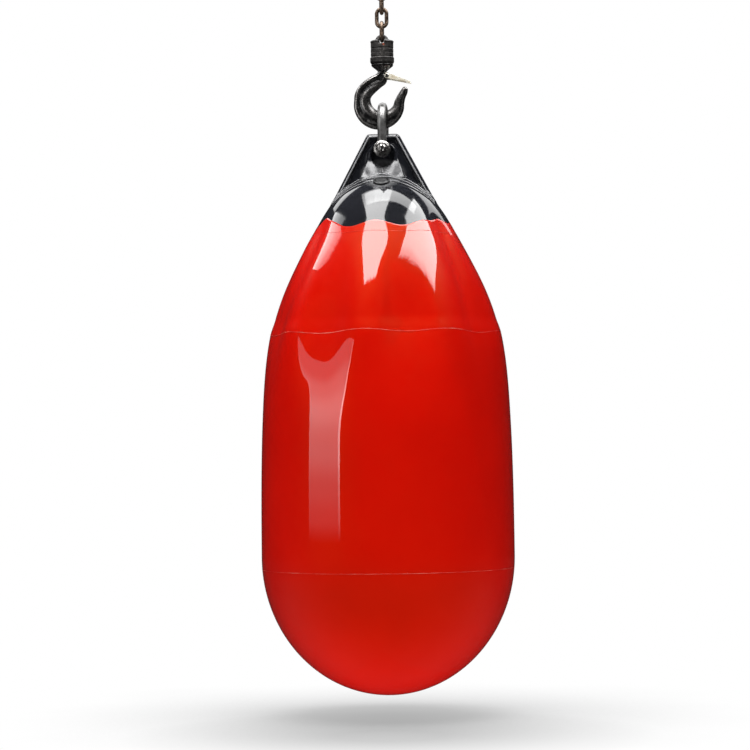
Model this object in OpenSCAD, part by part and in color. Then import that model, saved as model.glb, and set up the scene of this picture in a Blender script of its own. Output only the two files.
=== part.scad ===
// Hanging water-filled heavy bag on a crane hook, swivel and short chain.
// Origin: centre of the ceiling plate's top face. +Z is up, the bag hangs to -Z.
// The hook, the ear and links a and c lie in the XZ plane; +X is the hook's open side.
// Heights in the modules are measured up from the bag's lowest point, then
// hang() lowers everything so that the ceiling face is at Z = 0.

/* [Bag] */
// Outside diameter of the bag
bag_d = 458; // [380:1:540]
// Height of the widest ring, where the rounded bottom begins
belly_h = 250; // [200:1:300]
// Height where the vinyl shell meets the moulded head
shell_h = 856; // [800:1:900]
// Radius of the shell where it meets the head
shoulder_r = 118.2; // [100:0.1:130]
// Vinyl shell thickness
wall = 6; // [4:0.5:10]
// Height of the water surface
water_h = 560; // [400:5:720]

/* [Head] */
// Height of the moulded dome's top
dome_h = 940; // [920:1:960]
// Height of the ear's flat top
ear_h = 1016; // [1000:1:1030]
// Half width of the ear's top edge, before its corners are rounded
ear_top_w = 28.3; // [20:0.1:40]
// How far the ear widens per millimetre down
ear_slope = 0.532; // [0.4:0.001:0.7]
// Thickness of the ear at its rim and boss
ear_t = 25.6; // [20:0.1:26]
// Thickness of the ear's recessed web
web_t = 16; // [10:1:20]
// Width of the ear's raised rim
rim_w = 7; // [4:0.5:12]
// How far the raised lip along the ear's foot stands off the dome
lip = 6; // [0:0.5:10]
// Thickness of that lip, across the ear
lip_t = 40; // [30:1:60]
// Diameter of the ear's eye
eye_d = 42; // [30:0.5:50]
// Width of the raised boss round the ear's eye
boss_w = 5.5; // [4:0.5:8]
// Thickness of the moulded web that closes the eye below the pin
eye_web = 4; // [2:0.5:8]

/* [Fill valve] */
// Distance of the valve in front of the ear's mid plane
valve_y = 50; // [35:1:60]
// Height of the valve on the dome
valve_h = 928.3; // [915:0.5:940]
// Forward tilt of the valve's axis
valve_tilt = 29; // [0:1:45]
// Radius of the valve's bushing
valve_r = 15; // [12:0.5:18]
// Radius of the plug's shank
plug_r = 9.5; // [6:0.5:10]

/* [Shackle] */
// Bar diameter of the bow
bow_bar = 16; // [12:1:20]
// Inside radius of the bow's crown
bow_in_r = 21.5; // [18:0.5:26]
// Height of the pin's axis
pin_h = 987; // [970:1:1000]
// Pin diameter
pin_d = 19; // [16:1:22]
// Clear width of the jaw
jaw = 27; // [24:1:30]
// Height of the bow's inner crown
crown_h = 1057.8; // [1040:0.1:1070]

/* [Hook] */
// Radius of the hook's bowl
bowl_r = 22; // [18:0.5:26]
// Radius of the hook's outer back
back_r = 46.2; // [40:0.1:50]
// Greatest half thickness of the hook
hook_t = 11; // [8:0.5:12]
// Radius of the hook's shank
shank_r = 7.5; // [6:0.1:9]
// X of the latch hinge
latch_x = 9.4; // [8:0.1:12]
// Height of the latch hinge
latch_h = 1121.7; // [1110:0.1:1130]
// Droop of the closed latch below level
latch_droop = 17; // [0:1:30]
// Length of the latch's cheeks
latch_len = 44; // [36:1:50]

/* [Swivel] */
// Radius of the swivel's middle and upper bands
band_r = 20.6; // [18:0.1:24]
// Radius of the swivel's lower cup
cup_r = 21.7; // [19:0.1:25]
// Radius of the bearing space
cavity_r = 15.2; // [14:0.1:17]
// Wire diameter of the swivel's bail
bail_wire = 7.5; // [6:0.1:9]
// Number of bearing balls
balls = 14; // [10:1:16]

/* [Chain] */
// Wire diameter of the chain
wire = 7.1; // [6:0.1:9]
// Inside length of a link
pitch = 25.4; // [22:0.1:30]
// Inside width of a link
link_in = 10.7; // [9:0.1:13]
// Play left between one link and the next
play = 0.2; // [0.1:0.05:0.5]

/* [Ceiling fitting] */
// Side of the square ceiling plate
plate = 100; // [80:5:150]
// Thickness of the ceiling plate
plate_t = 8; // [5:1:12]
// Spacing of the four bolt holes
bolt_gap = 70; // [50:5:110]
// Diameter of a bolt hole
bolt_d = 11; // [8:0.5:14]
// Bar diameter of the welded eye
eye_bar = 9.5; // [8:0.5:12]

/* [Hidden] */
$fn = 64;
wr = wire / 2;
end_r = link_in / 2 + wr;                     // centreline radius of a link's end
run = pitch - link_in;                        // straight part of a link
reach = run + 2 * end_r;                      // from one end bar's centre to the other
bail_r = 8.5;                                 // centreline radius of the bail
bail_c = 1185.25;                             // height of the bail's arch centre
d_low = bail_c + bail_r - bail_wire / 2 - play - wr;  // bottom bar centre of link d
step = reach - wire - play;                   // from one link's bottom bar to the next
c_low = d_low + step;
b_low = c_low + step;
a_low = b_low + step;
eye_low = a_low + reach - wr - play - eye_bar / 2;    // bar centre of the ceiling eye
eye_r = 10 + eye_bar / 2;                     // centreline radius of the ceiling eye
plate_low = eye_low + eye_r + 9.4;            // underside of the ceiling plate
drop = plate_low + plate_t;                   // ceiling face above the bag's lowest point
belly_r = bag_d / 2;
bow_r = bow_in_r + bow_bar / 2;
bow_c = crown_h - bow_in_r;
bow_lean = 14;                                // lean of the bow's legs towards the jaw
boss_r = 14.5;                                // radius and thickness of the bow's two bosses
boss_t = 16;
collar_r = 15.2;                              // radius of the pin's collar
jaw_h = jaw / 2;
hole_h = pin_h + pin_d / 2 + 0.3 - eye_d / 2; // centre of the ear's eye
bowl_h = 1079.5;                              // height of the bowl's centre

// ---- helpers ---------------------------------------------------------------

module hang() { translate([0, 0, -drop]) children(); }

// A cylinder along +Y, centred on y.
module across(r, y0, y1, x = 0, z = 0, n = 64) {
    translate([x, y0, z]) rotate([-90, 0, 0]) cylinder(r = r, h = y1 - y0, $fn = n);
}

function bez(p, t) = pow(1 - t, 3) * p[0] + 3 * pow(1 - t, 2) * t * p[1]
    + 3 * (1 - t) * t * t * p[2] + pow(t, 3) * p[3];

function unit(v) = v / norm(v);

// Catmull-Rom value through a list of vectors, s from 0 to len - 1.
function thru(l, s) =
    let (i = min(floor(s), len(l) - 2), t = s - i,
        a = l[max(i - 1, 0)], b = l[i], c = l[i + 1], d = l[min(i + 2, len(l) - 1)])
    0.5 * (2 * b + (c - a) * t + (2 * a - 5 * b + 4 * c - d) * t * t
        + (3 * b - a - 3 * c + d) * t * t * t);

// Closed skin over rings of equal length.
module skin(rings) {
    n = len(rings[0]);
    m = len(rings);
    polyhedron(
        points = [for (r = rings) each r],
        faces = concat(
            [[for (i = [0 : n - 1]) i]],
            [for (j = [0 : m - 2]) for (i = [0 : n - 1]) each [
                [j * n + i, (j + 1) * n + i, (j + 1) * n + (i + 1) % n],
                [j * n + i, (j + 1) * n + (i + 1) % n, j * n + (i + 1) % n]]],
            [[for (i = [n - 1 : -1 : 0]) (m - 1) * n + i]]),
        convexity = 6);
}

// ---- ceiling fitting -------------------------------------------------------

module ceiling_plate() color([0.45, 0.42, 0.38]) hang() difference() {
    translate([-plate / 2, -plate / 2, plate_low]) cube([plate, plate, plate_t]);
    for (x = [-1, 1], y = [-1, 1])
        translate([x * bolt_gap / 2, y * bolt_gap / 2, plate_low - 1])
            cylinder(d = bolt_d, h = plate_t + 2);
    for (y = [-1, 1])
        translate([0, y * eye_r, plate_low - 1]) cylinder(d = eye_bar, h = 6);
}

module ceiling_eye() color([0.40, 0.36, 0.32]) hang() {
    translate([0, 0, eye_low + eye_r]) rotate([0, 90, 0]) rotate([0, 0, -90])
        rotate_extrude(angle = 180) translate([eye_r, 0]) circle(d = eye_bar);
    for (y = [-1, 1])
        translate([0, y * eye_r, eye_low + eye_r])
            cylinder(d = eye_bar, h = plate_low + 5 - eye_low - eye_r);
}

module eye_welds() color([0.36, 0.34, 0.32]) hang() for (y = [-1, 1])
    translate([0, y * eye_r, plate_low - 4]) difference() {
        cylinder(r1 = eye_bar / 2 + 0.6, r2 = eye_bar / 2 + 4, h = 4);
        translate([0, 0, -1]) cylinder(d = eye_bar, h = 6);
    }

// ---- chain -----------------------------------------------------------------

// A link standing in the XZ plane, its bottom bar's centre at the origin.
module link() {
    translate([0, 0, end_r]) {
        rotate([-90, 0, 0]) rotate_extrude(angle = 180) translate([end_r, 0]) circle(r = wr);
        for (x = [-1, 1]) translate([x * end_r, 0, 0]) cylinder(r = wr, h = run);
        translate([0, 0, run]) rotate([90, 0, 0])
            rotate_extrude(angle = 180) translate([end_r, 0]) circle(r = wr);
    }
}

module link_a() color([0.45, 0.36, 0.28]) hang() translate([0, 0, a_low]) link();
module link_b() color([0.43, 0.35, 0.27]) hang() translate([0, 0, b_low]) rotate([0, 0, 90]) link();
module link_c() color([0.45, 0.36, 0.28]) hang() translate([0, 0, c_low]) link();
module link_d() color([0.43, 0.35, 0.27]) hang() translate([0, 0, d_low]) rotate([0, 0, 90]) link();

// ---- swivel ----------------------------------------------------------------

module swivel_eye() color([0.38, 0.30, 0.24]) hang() difference() {
    union() {
        translate([0, 0, 1171.8]) cylinder(r = band_r, h = 10.2);
        translate([0, 0, 1182]) cylinder(r1 = band_r, r2 = 12, h = 6.5);
        translate([0, 0, bail_c]) rotate([90, 0, 0])
            rotate_extrude(angle = 180) translate([bail_r, 0]) circle(d = bail_wire);
        translate([0, 0, 1160]) cylinder(r = 18.8, h = 12);
    }
    // link d's slot, under the bail
    difference() {
        translate([-5.2, -25, 1180]) cube([10.4, 50, 20]);
        translate([0, 0, bail_c]) rotate([90, 0, 0])
            rotate_extrude(angle = 180) translate([bail_r, 0]) circle(d = bail_wire);
    }
    translate([0, 0, 1159]) cylinder(r = cavity_r, h = 13);
    across(2, -21, -14.6, 4, 1177.5, 32);
}

module swivel_set_screw() color([0.55, 0.30, 0.20]) hang() difference() {
    across(2, -20.1, -14.6, 4, 1177.5, 32);
    translate([2, -21, 1177.1]) cube([4, 1.6, 0.8]);
}

module swivel_band() color([0.37, 0.29, 0.23]) hang() translate([0, 0, 1156.7]) difference() {
    cylinder(r = band_r, h = 14.6);
    translate([0, 0, -1]) cylinder(r = 18.8, h = 17);
}

module swivel_cup() color([0.36, 0.28, 0.22]) hang() difference() {
    union() {
        translate([0, 0, 1144]) cylinder(r1 = cup_r - 1.4, r2 = cup_r, h = 1.6);
        translate([0, 0, 1145.6]) cylinder(r = cup_r, h = 10.6);
        translate([0, 0, 1156.2]) cylinder(r = 18.8, h = 3.8);
    }
    translate([0, 0, 1150]) cylinder(r = cavity_r, h = 11);
    translate([0, 0, 1143]) cylinder(r = shank_r + 0.07, h = 8);
}

module race_lower() color([0.75, 0.75, 0.78]) hang() translate([0, 0, 1150]) difference() {
    cylinder(r = cavity_r, h = 2.5);
    translate([0, 0, -1]) cylinder(r = shank_r + 0.7, h = 5);
}

module thrust_balls() color([0.85, 0.85, 0.88]) hang() for (i = [0 : balls - 1])
    rotate([0, 0, i * 360 / balls]) translate([11.5, 0, 1154.95]) sphere(r = 2.4, $fn = 24);

module race_upper() color([0.75, 0.75, 0.78]) hang() translate([0, 0, 1157.4]) difference() {
    cylinder(r = cavity_r - 0.3, h = 2.6);
    translate([0, 0, -1]) cylinder(r = shank_r, h = 5);
}

module shank_nut() color([0.50, 0.50, 0.52]) hang() difference() {
    translate([0, 0, 1160]) cylinder(r = 13.6, h = 9, $fn = 6);
    translate([0, 0, 1159]) cylinder(r = shank_r, h = 11);
    translate([-15, 0, 1164.5]) rotate([0, 90, 0]) cylinder(r = 1.5, h = 30);
}

module roll_pin() color([0.60, 0.60, 0.62]) hang()
    translate([-11.6, 0, 1164.5]) rotate([0, 90, 0]) cylinder(r = 1.5, h = 23.2);

// ---- hook ------------------------------------------------------------------

// Distance from the bowl's centre to the hook's outer back, at angle a.
function back(a) = let (dx = -6.6, dz = -8.9, k = dx * cos(a) + dz * sin(a))
    k + sqrt(back_r * back_r - dx * dx - dz * dz + k * k);

// A station round the bowl: inner x, z, outer x, z, inner round, middle and outer half thickness.
function round_bowl(a, h) = [bowl_r * cos(a), bowl_h + bowl_r * sin(a),
    back(a) * cos(a), bowl_h + back(a) * sin(a), h, h - 0.4, 0.64 * h];

stations = concat(
    [[38.3, 1101.4, 42.6, 1101.0, 2.0, 2.2, 2.0],
     [35.9, 1099.2, 46.4, 1096.4, 5.0, 5.2, 4.0],
     [31.6, 1093.4, 45.0, 1089.2, 6.4, 6.4, 5.0],
     [26.6, 1085.6, 41.8, 1081.8, 7.6, 7.6, 5.6]],
    [for (a = [-10 : -17 : -180]) round_bowl(a, min(hook_t, 8.4 + (-10 - a) * 0.052))],
    [[-20.8, 1083.6, -50.6, 1090.0, 10.6, 10.6, 7.0],
     [-17.0, 1088.4, -44.6, 1102.2, 9.8, 10.0, 7.0],
     [-10.0, 1095.0, -34.6, 1112.6, 8.8, 9.4, 6.6],
     [-1.8, 1101.8, -22.4, 1120.6, 7.4, 8.6, 6.4],
     [5.6, 1107.6, -12.6, 1125.0, 5.8, 7.8, 6.0],
     [8.6, 1115.0, -8.6, 1128.6, 5.4, 7.4, 5.4],
     [7.3, 1127.5, -7.3, 1131.5, 4.6, 7.2, 4.6]]);

// One section: points across the hook's depth, round inside, flatter outside.
function ring(s) =
    let (p = [s[0], 0, s[1]], q = [s[2], 0, s[3]], d = norm(q - p), e = unit(q - p),
        r = min(s[4], d * 0.45), m = s[5], o = s[6],
        side = concat(
            [for (a = [22.5 : 22.5 : 90]) [r * (1 - cos(a)), r * sin(a)]],
            [[lerp2(r, d, 0.35), m], [lerp2(r, d, 0.72), lerp2(m, o, 0.7)],
             [d - 1.6, o * 0.9], [d - 0.2, o * 0.5]]))
    concat([p], [for (v = side) p + e * v[0] + [0, v[1], 0]],
        [for (i = [len(side) - 1 : -1 : 0]) p + e * side[i][0] - [0, side[i][1], 0]]);
function lerp2(a, b, t) = a + (b - a) * t;

module hook() color([0.30, 0.22, 0.17]) hang() difference() {
    union() {
        skin([for (i = [0 : 0.5 : len(stations) - 1]) ring(thru(stations, i))]);
        translate([0, 0, 1122]) cylinder(r = shank_r, h = 48);
        translate([0, 0, 1128]) cylinder(r1 = shank_r, r2 = 12, h = 3);
        translate([0, 0, 1131]) cylinder(r1 = 12, r2 = 19.4, h = 9);
        translate([0, 0, 1140]) cylinder(r1 = 19.4, r2 = 20.4, h = 3);
        across(6.5, -5.4, 5.4, latch_x, latch_h);
        translate([0, -5.4, 1114]) cube([latch_x - 1, 10.8, 15]);
    }
    across(2.5, -12, 12, latch_x, latch_h);
    translate([-15, 0, 1164.5]) rotate([0, 90, 0]) cylinder(r = 1.5, h = 30);
}

module latch_rivet() color([0.80, 0.78, 0.72]) hang() {
    across(2.5, -13.2, 13.2, latch_x, latch_h);
    for (s = [-1, 1]) translate([latch_x, s * 13.1, latch_h]) rotate([-90 * s, 0, 0])
        cylinder(r1 = 4.2, r2 = 3, h = 1.6);
}

// Places things in the latch's own frame: u along it, v above it, hinge at the origin.
module on_latch() translate([latch_x, 0, latch_h]) rotate([0, latch_droop, 0]) children();

module latch() color([0.80, 0.74, 0.58]) hang() on_latch() difference() {
    union() {
        for (s = [-1, 1]) translate([0, s * 12.05, 0]) rotate([90, 0, 0])
            linear_extrude(height = 1.5, center = true) difference() {
                union() {
                    circle(r = 6);
                    polygon([[0.4, 5.98], [latch_len - 2, 3.1], [latch_len, 1.6],
                        [latch_len, -2.2], [latch_len - 2, -3.1], [0.4, -5.98]]);
                }
                circle(r = 2.57);
            }
        rotate([90, 0, 0]) linear_extrude(height = 25.6, center = true)
            polygon([[8.8, 5.4], [33.6, 3.7], [33.6, 2.2], [8.8, 3.9]]);
    }
}

// Helical spring round the rivet, with one leg under the latch's web.
module latch_spring() color([0.70, 0.70, 0.72]) hang() on_latch() {
    w = 0.55;
    c = 3.4;
    path = concat(
        [[24, 6.3, 1.4], [14, 6.3, 2.6], [4, 6.3, 3.3]],
        [for (a = [30 : 30 : 990]) [c * sin(a), 6.3 + 3.6 * a / 990, c * cos(a)]],
        [[-5.2, 9.95, -0.6]]);
    skin([for (i = [0 : len(path) - 1])
        let (t = unit(path[min(i + 1, len(path) - 1)] - path[max(i - 1, 0)]),
            n = unit(cross(t, [0, 1, 0])), b = cross(t, n))
        [for (k = [0 : 7]) path[i] + w * (n * cos(k * 45) + b * sin(k * 45))]]);
}

// ---- shackle ---------------------------------------------------------------

module shackle_bow() color([0.50, 0.49, 0.48]) hang() difference() {
    union() {
        translate([0, 0, bow_c]) rotate([0, 90, 0]) rotate([0, 0, 90 - bow_lean])
            rotate_extrude(angle = 180 + 2 * bow_lean) translate([bow_r, 0]) circle(d = bow_bar);
        for (s = [-1, 1]) {
            translate([0, s * bow_r * cos(bow_lean), bow_c - bow_r * sin(bow_lean)])
                rotate([180 - s * bow_lean, 0, 0]) translate([0, 0, -3])
                    cylinder(d = bow_bar - 0.8, h = (bow_c - bow_r * sin(bow_lean) - 1001) / cos(bow_lean) + 3);
            across(boss_r, s > 0 ? jaw_h : -jaw_h - boss_t, s > 0 ? jaw_h + boss_t : -jaw_h, 0, pin_h);
        }
    }
    across(pin_d / 2 + 0.05, -40, 40, 0, pin_h);
}

module shackle_pin() color([0.58, 0.58, 0.58]) hang() difference() {
    union() {
        across(pin_d / 2, -jaw_h - boss_t - 1, jaw_h + boss_t + 3, 0, pin_h);
        across(collar_r, -jaw_h - boss_t - 5, -jaw_h - boss_t, 0, pin_h);
        translate([0, -jaw_h - boss_t - 5, pin_h]) rotate([90, 0, 0])
            cylinder(r1 = collar_r, r2 = collar_r - 2, h = 1.6);
        translate([-3, -jaw_h - boss_t - 18, pin_h - 8.5]) cube([6, 13, 17]);
    }
    translate([-5, -jaw_h - boss_t - 13, pin_h]) rotate([0, 90, 0]) cylinder(r = 3.2, h = 10);
}

// ---- bag -------------------------------------------------------------------

dome_out = [[shoulder_r, shell_h], [97, 895], [52, dome_h], [0, dome_h]];
dome_lip = [[shoulder_r + 2, shell_h - 4], [97 + lip * 0.7, 895 + lip * 0.7], [55, dome_h + lip], [0, dome_h + lip]];
dome_in = [[shoulder_r - 7.4, shell_h - 0.1], [89, 887], [46, dome_h - 8.5], [0, dome_h - 8.5]];
shell_up = [[belly_r, belly_h], [belly_r, belly_h + 447], [shoulder_r + 87.4, shell_h - 159.6], [shoulder_r, shell_h]];

// Shell profile, t from 0 at the lowest point, 1 at the belly, 2 at the shoulder.
function shell(t) = t <= 1
    ? [belly_r * sin(90 * t), belly_h * (1 - cos(90 * t))]
    : bez(shell_up, t - 1);
// The same profile moved inwards by k.
function inset(t, k) = let (a = shell(max(t - 0.01, 0)), b = shell(min(t + 0.01, 2)), d = unit(b - a))
    shell(t) + k * [-d[1], d[0]];

module dome(p) rotate_extrude()
    polygon(concat([[0, shell_h]], [for (i = [0 : 20]) let (v = bez(p, i / 20)) [v[0], max(v[1], shell_h)]]));

function ear_w(h) = ear_top_w + (ear_h - h) * ear_slope;
ear_k = sqrt(1 + ear_slope * ear_slope);

// Ear outline, drawn back from its edge by k, down to height h, its top corners rounded by r.
module ear_outline(k, h, r) {
    top = ear_h - k;
    cx = ear_w(top - r) - (k + r) * ear_k;
    a = atan(ear_slope);
    polygon([[-ear_w(h) + k * ear_k, h], [ear_w(h) - k * ear_k, h],
        [cx + r * cos(a), top - r + r * sin(a)], [cx, top],
        [-cx, top], [-cx - r * cos(a), top - r + r * sin(a)]]);
    for (s = [-1, 1]) translate([s * cx, top - r]) circle(r = r);
}

module slab(t) rotate([90, 0, 0]) linear_extrude(height = t, center = true) children();

module ear() difference() {
    slab(ear_t) ear_outline(0, shell_h + 2, 8);
    for (s = [-1, 1]) translate([0, s * (web_t + 20) / 2, 0]) slab(20) difference() {
        ear_outline(rim_w, shell_h + 1, 4);
        translate([0, hole_h]) circle(r = eye_d / 2 + boss_w);
        polygon([for (v = [[43, 925], [41, 938], [34, 958], [eye_d / 2 + boss_w, hole_h]]) v,
            for (v = [[-eye_d / 2 - boss_w, hole_h], [-34, 958], [-41, 938], [-43, 925]]) v]);
    }
}

// Places things on the fill valve's axis, pointing out of the dome.
module at_valve() translate([0, -valve_y, valve_h]) rotate([valve_tilt, 0, 0]) children();

module bag_head() color([0.05, 0.05, 0.06]) hang() {
    difference() {
        union() {
            dome(dome_out);
            ear();
            intersection() {
                dome(dome_lip);
                translate([-98, -lip_t / 2, shell_h + 6]) cube([196, lip_t, 100]);
            }
        }
        dome(dome_in);
        across(eye_d / 2, -20, 20, 0, hole_h);
        at_valve() translate([0, 0, -20]) cylinder(r = valve_r, h = 30);
    }
    difference() {
        across(eye_d / 2 + 1, -eye_web / 2, eye_web / 2, 0, hole_h);
        across(pin_d / 2 + 0.6, -eye_web, eye_web, 0, pin_h);
    }
}

module bag_body() color([0.80, 0.06, 0.03]) hang() rotate_extrude()
    polygon(concat(
        [for (i = [0 : 48]) shell(i / 24)],
        [[shoulder_r - 7.4, shell_h]],
        [for (i = [46 : -1 : 1]) inset(i / 24, wall)],
        [[0, wall]]));

module water_fill() color([0.55, 0.72, 0.85, 0.6]) hang() intersection() {
    rotate_extrude() polygon(concat([[0, wall + 0.5]],
        [for (i = [1 : 44]) inset(i / 24, wall + 0.5)], [[0, inset(44 / 24, wall + 0.5)[1]]]));
    translate([-300, -300, 0]) cube([600, 600, water_h]);
}

module valve_body() color([0.06, 0.06, 0.07]) hang() at_valve() difference() {
    translate([0, 0, -14]) cylinder(r = valve_r, h = 14.8);
    translate([0, 0, -15]) cylinder(r = plug_r + 0.06, h = 17);
    translate([0, 0, -3.6]) cylinder(r = 12, h = 6);
}

module valve_seal() color([0.12, 0.12, 0.12]) hang() at_valve() translate([0, 0, -3.3]) difference() {
    cylinder(r = 11.2, h = 1.1);
    translate([0, 0, -1]) cylinder(r = plug_r, h = 4);
}

module valve_plug() color([0.09, 0.09, 0.10]) hang() at_valve() difference() {
    union() {
        translate([0, 0, -12]) cylinder(r = plug_r, h = 10);
        translate([0, 0, -2.2]) cylinder(r = 11.2, h = 3);
    }
    translate([-8, -1.2, -0.8]) cube([16, 2.4, 3]);
}

// ---- what is drawn ---------------------------------------------------------

ceiling_plate();
ceiling_eye();
eye_welds();
link_a();
link_b();
link_c();
link_d();
swivel_eye();
swivel_set_screw();
swivel_band();
swivel_cup();
race_lower();
thrust_balls();
race_upper();
shank_nut();
roll_pin();
hook();
latch_rivet();
latch();
latch_spring();
shackle_bow();
shackle_pin();
bag_head();
bag_body();
water_fill();
valve_body();
valve_seal();
valve_plug();
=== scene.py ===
import math

import bmesh
import bpy
import numpy as np
import openvdb
from mathutils import Matrix, Vector


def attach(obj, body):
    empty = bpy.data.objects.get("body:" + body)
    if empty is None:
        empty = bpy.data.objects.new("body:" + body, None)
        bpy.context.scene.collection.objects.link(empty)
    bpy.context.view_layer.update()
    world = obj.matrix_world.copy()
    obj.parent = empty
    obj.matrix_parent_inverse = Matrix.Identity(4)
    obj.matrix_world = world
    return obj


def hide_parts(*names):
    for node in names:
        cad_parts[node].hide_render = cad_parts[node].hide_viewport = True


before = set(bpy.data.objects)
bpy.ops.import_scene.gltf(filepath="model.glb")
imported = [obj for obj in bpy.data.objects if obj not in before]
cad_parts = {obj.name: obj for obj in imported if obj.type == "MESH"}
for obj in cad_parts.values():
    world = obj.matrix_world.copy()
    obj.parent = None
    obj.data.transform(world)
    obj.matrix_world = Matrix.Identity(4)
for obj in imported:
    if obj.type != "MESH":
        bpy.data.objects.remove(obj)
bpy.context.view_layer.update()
DROP = 1.318                          # ceiling face above the bag's lowest point, m
PIN_H, HOLE_H = 987.0, 975.8          # shackle pin and the ear's eye, mm above the bag's lowest point


def clamp(x, a=0.0, b=1.0):
    return np.minimum(np.maximum(x, a), b)


# ---------------------------------------------------------------- materials


class Nodes:
    """A material's node tree, with short calls for the nodes used here."""

    def __init__(self, name):
        self.mat = bpy.data.materials.new(name)
        self.mat.use_nodes = True
        self.tree = self.mat.node_tree
        self.bsdf = self.tree.nodes["Principled BSDF"]
        self.coord = self.add("ShaderNodeTexCoord").outputs["Object"]

    def add(self, kind, **settings):
        n = self.tree.nodes.new(kind)
        for k, v in settings.items():
            setattr(n, k, v)
        return n

    def link(self, a, b):
        self.tree.links.new(a, b)

    def noise(self, scale, detail=4.0, rough=0.55, distortion=0.0, stretch=None):
        n = self.add("ShaderNodeTexNoise")
        n.inputs["Scale"].default_value = scale
        n.inputs["Detail"].default_value = detail
        n.inputs["Roughness"].default_value = rough
        n.inputs["Distortion"].default_value = distortion
        if stretch:
            m = self.add("ShaderNodeMapping")
            m.inputs["Scale"].default_value = stretch
            self.link(self.coord, m.inputs["Vector"])
            self.link(m.outputs["Vector"], n.inputs["Vector"])
        else:
            self.link(self.coord, n.inputs["Vector"])
        return n.outputs["Fac"]

    def ramp(self, fac, stops):
        n = self.add("ShaderNodeValToRGB")
        e = n.color_ramp.elements
        while len(e) < len(stops):
            e.new(0.5)
        for el, (p, c) in zip(e, stops):
            el.position = p
            el.color = (*c, 1) if len(c) == 3 else c
        self.link(fac, n.inputs["Fac"])
        return n.outputs["Color"]

    def remap(self, fac, lo, hi, a=0.3, b=0.7):
        n = self.add("ShaderNodeMapRange")
        for k, v in (("From Min", a), ("From Max", b), ("To Min", lo), ("To Max", hi)):
            n.inputs[k].default_value = v
        self.link(fac, n.inputs["Value"])
        return n.outputs["Result"]

    def mix(self, fac, a, b):
        n = self.add("ShaderNodeMix", data_type="RGBA")
        self.link(fac, n.inputs["Factor"])
        for s, v in ((n.inputs[6], a), (n.inputs[7], b)):
            if isinstance(v, tuple):
                s.default_value = (*v, 1)
            else:
                self.link(v, s)
        return n.outputs[2]

    def bump(self, height, strength, distance, under=None):
        n = self.add("ShaderNodeBump")
        n.inputs["Strength"].default_value = strength
        n.inputs["Distance"].default_value = distance
        self.link(height, n.inputs["Height"])
        if under is not None:
            self.link(under, n.inputs["Normal"])
        return n.outputs["Normal"]

    def edges(self, lo=0.52, hi=0.60):
        g = self.add("ShaderNodeNewGeometry")
        return self.remap(g.outputs["Pointiness"], 0.0, 1.0, lo, hi)

    def set(self, **values):
        for k, v in values.items():
            s = self.bsdf.inputs[k.replace("_", " ")]
            if hasattr(v, "is_linked"):
                self.link(v, s)
            else:
                s.default_value = v
        return self


def metal(name, dark, mid, light, rough, scale=90, grain=0.25, worn=None,
          metallic=1.0, coat=0.0, rub=(0.52, 0.60)):
    """Oxidised or worn steel: patchy colour, pitted bump, lighter on its edges."""
    m = Nodes(name)
    patches = m.noise(scale, 6, 0.62)
    fine = m.noise(scale * 9, 4, 0.6)
    col = m.ramp(patches, [(0.32, dark), (0.52, mid), (0.72, light)])
    if worn:
        col = m.mix(m.edges(*rub), col, worn)
    both = m.add("ShaderNodeMath", operation="MULTIPLY_ADD")
    m.link(fine, both.inputs[0])
    both.inputs[1].default_value = 0.45
    m.link(patches, both.inputs[2])
    m.set(Base_Color=col, Metallic=metallic, Roughness=m.remap(both.outputs[0], *rough, 0.45, 1.0),
          Normal=m.bump(fine, grain, 0.0006, m.bump(patches, grain, 0.0012)), Coat_Weight=coat,
          Coat_Roughness=0.12)
    return m.mat


def vinyl():
    m = Nodes("vinyl_red")
    cloud = m.noise(5.5, 3, 0.5)
    col = m.ramp(cloud, [(0.25, (0.62, 0.0026, 0.0002)), (0.5, (0.68, 0.0032, 0.0003)),
                         (0.8, (0.74, 0.0044, 0.0006))])
    peel = m.noise(420, 2, 0.5)
    wave = m.noise(26, 2, 0.5)
    m.set(Base_Color=col, Roughness=m.remap(m.noise(60, 4), 0.30, 0.42), IOR=1.5, Specular_IOR_Level=0.08,
          Specular_Tint=(1.0, 0.85, 0.10, 1),
          Coat_Weight=1.0, Coat_Roughness=0.02, Coat_IOR=1.5,
          Normal=m.bump(peel, 0.035, 0.0004, m.bump(wave, 0.05, 0.0022)))
    m.link(m.bump(peel, 0.012, 0.0003), m.bsdf.inputs["Coat Normal"])
    return m.mat


def gloss_black(name, base=(0.010, 0.0105, 0.013), rough=(0.05, 0.10), coat=0.0, face=None):
    m = Nodes(name)
    cloud = m.noise(14, 4, 0.55)
    col = m.ramp(cloud, [(0.3, base), (0.75, tuple(c * 1.7 for c in base))])
    peel = m.noise(600, 2)
    wave = m.noise(38, 2)
    gloss = m.remap(m.noise(130, 5), *rough)
    if face:
        # painted sheen: a lighter grey, rougher zone round one point on the ear's foot
        at = m.add("ShaderNodeMapping")
        at.inputs["Scale"].default_value = (1 / 0.045, 1 / 0.3, 1 / 0.031)
        at.inputs["Location"].default_value = (0, 0, -face / 0.031)
        ball = m.add("ShaderNodeTexGradient", gradient_type="SPHERICAL")
        m.link(m.coord, at.inputs["Vector"])
        m.link(at.outputs["Vector"], ball.inputs["Vector"])
        painted_sheen_zone = m.remap(ball.outputs["Fac"], 0.0, 1.0, 0.02, 0.22)
        col = m.mix(painted_sheen_zone, col, (0.10, 0.10, 0.105))
        dull = m.add("ShaderNodeMath", operation="MULTIPLY_ADD")
        m.link(painted_sheen_zone, dull.inputs[0])
        dull.inputs[1].default_value = 0.20
        m.link(gloss, dull.inputs[2])
        gloss = dull.outputs[0]
    m.set(Base_Color=col, Roughness=gloss, IOR=1.5, Coat_Weight=coat, Coat_Roughness=0.03,
          Normal=m.bump(peel, 0.02, 0.0003, m.bump(wave, 0.04, 0.0012)))
    return m.mat


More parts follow.
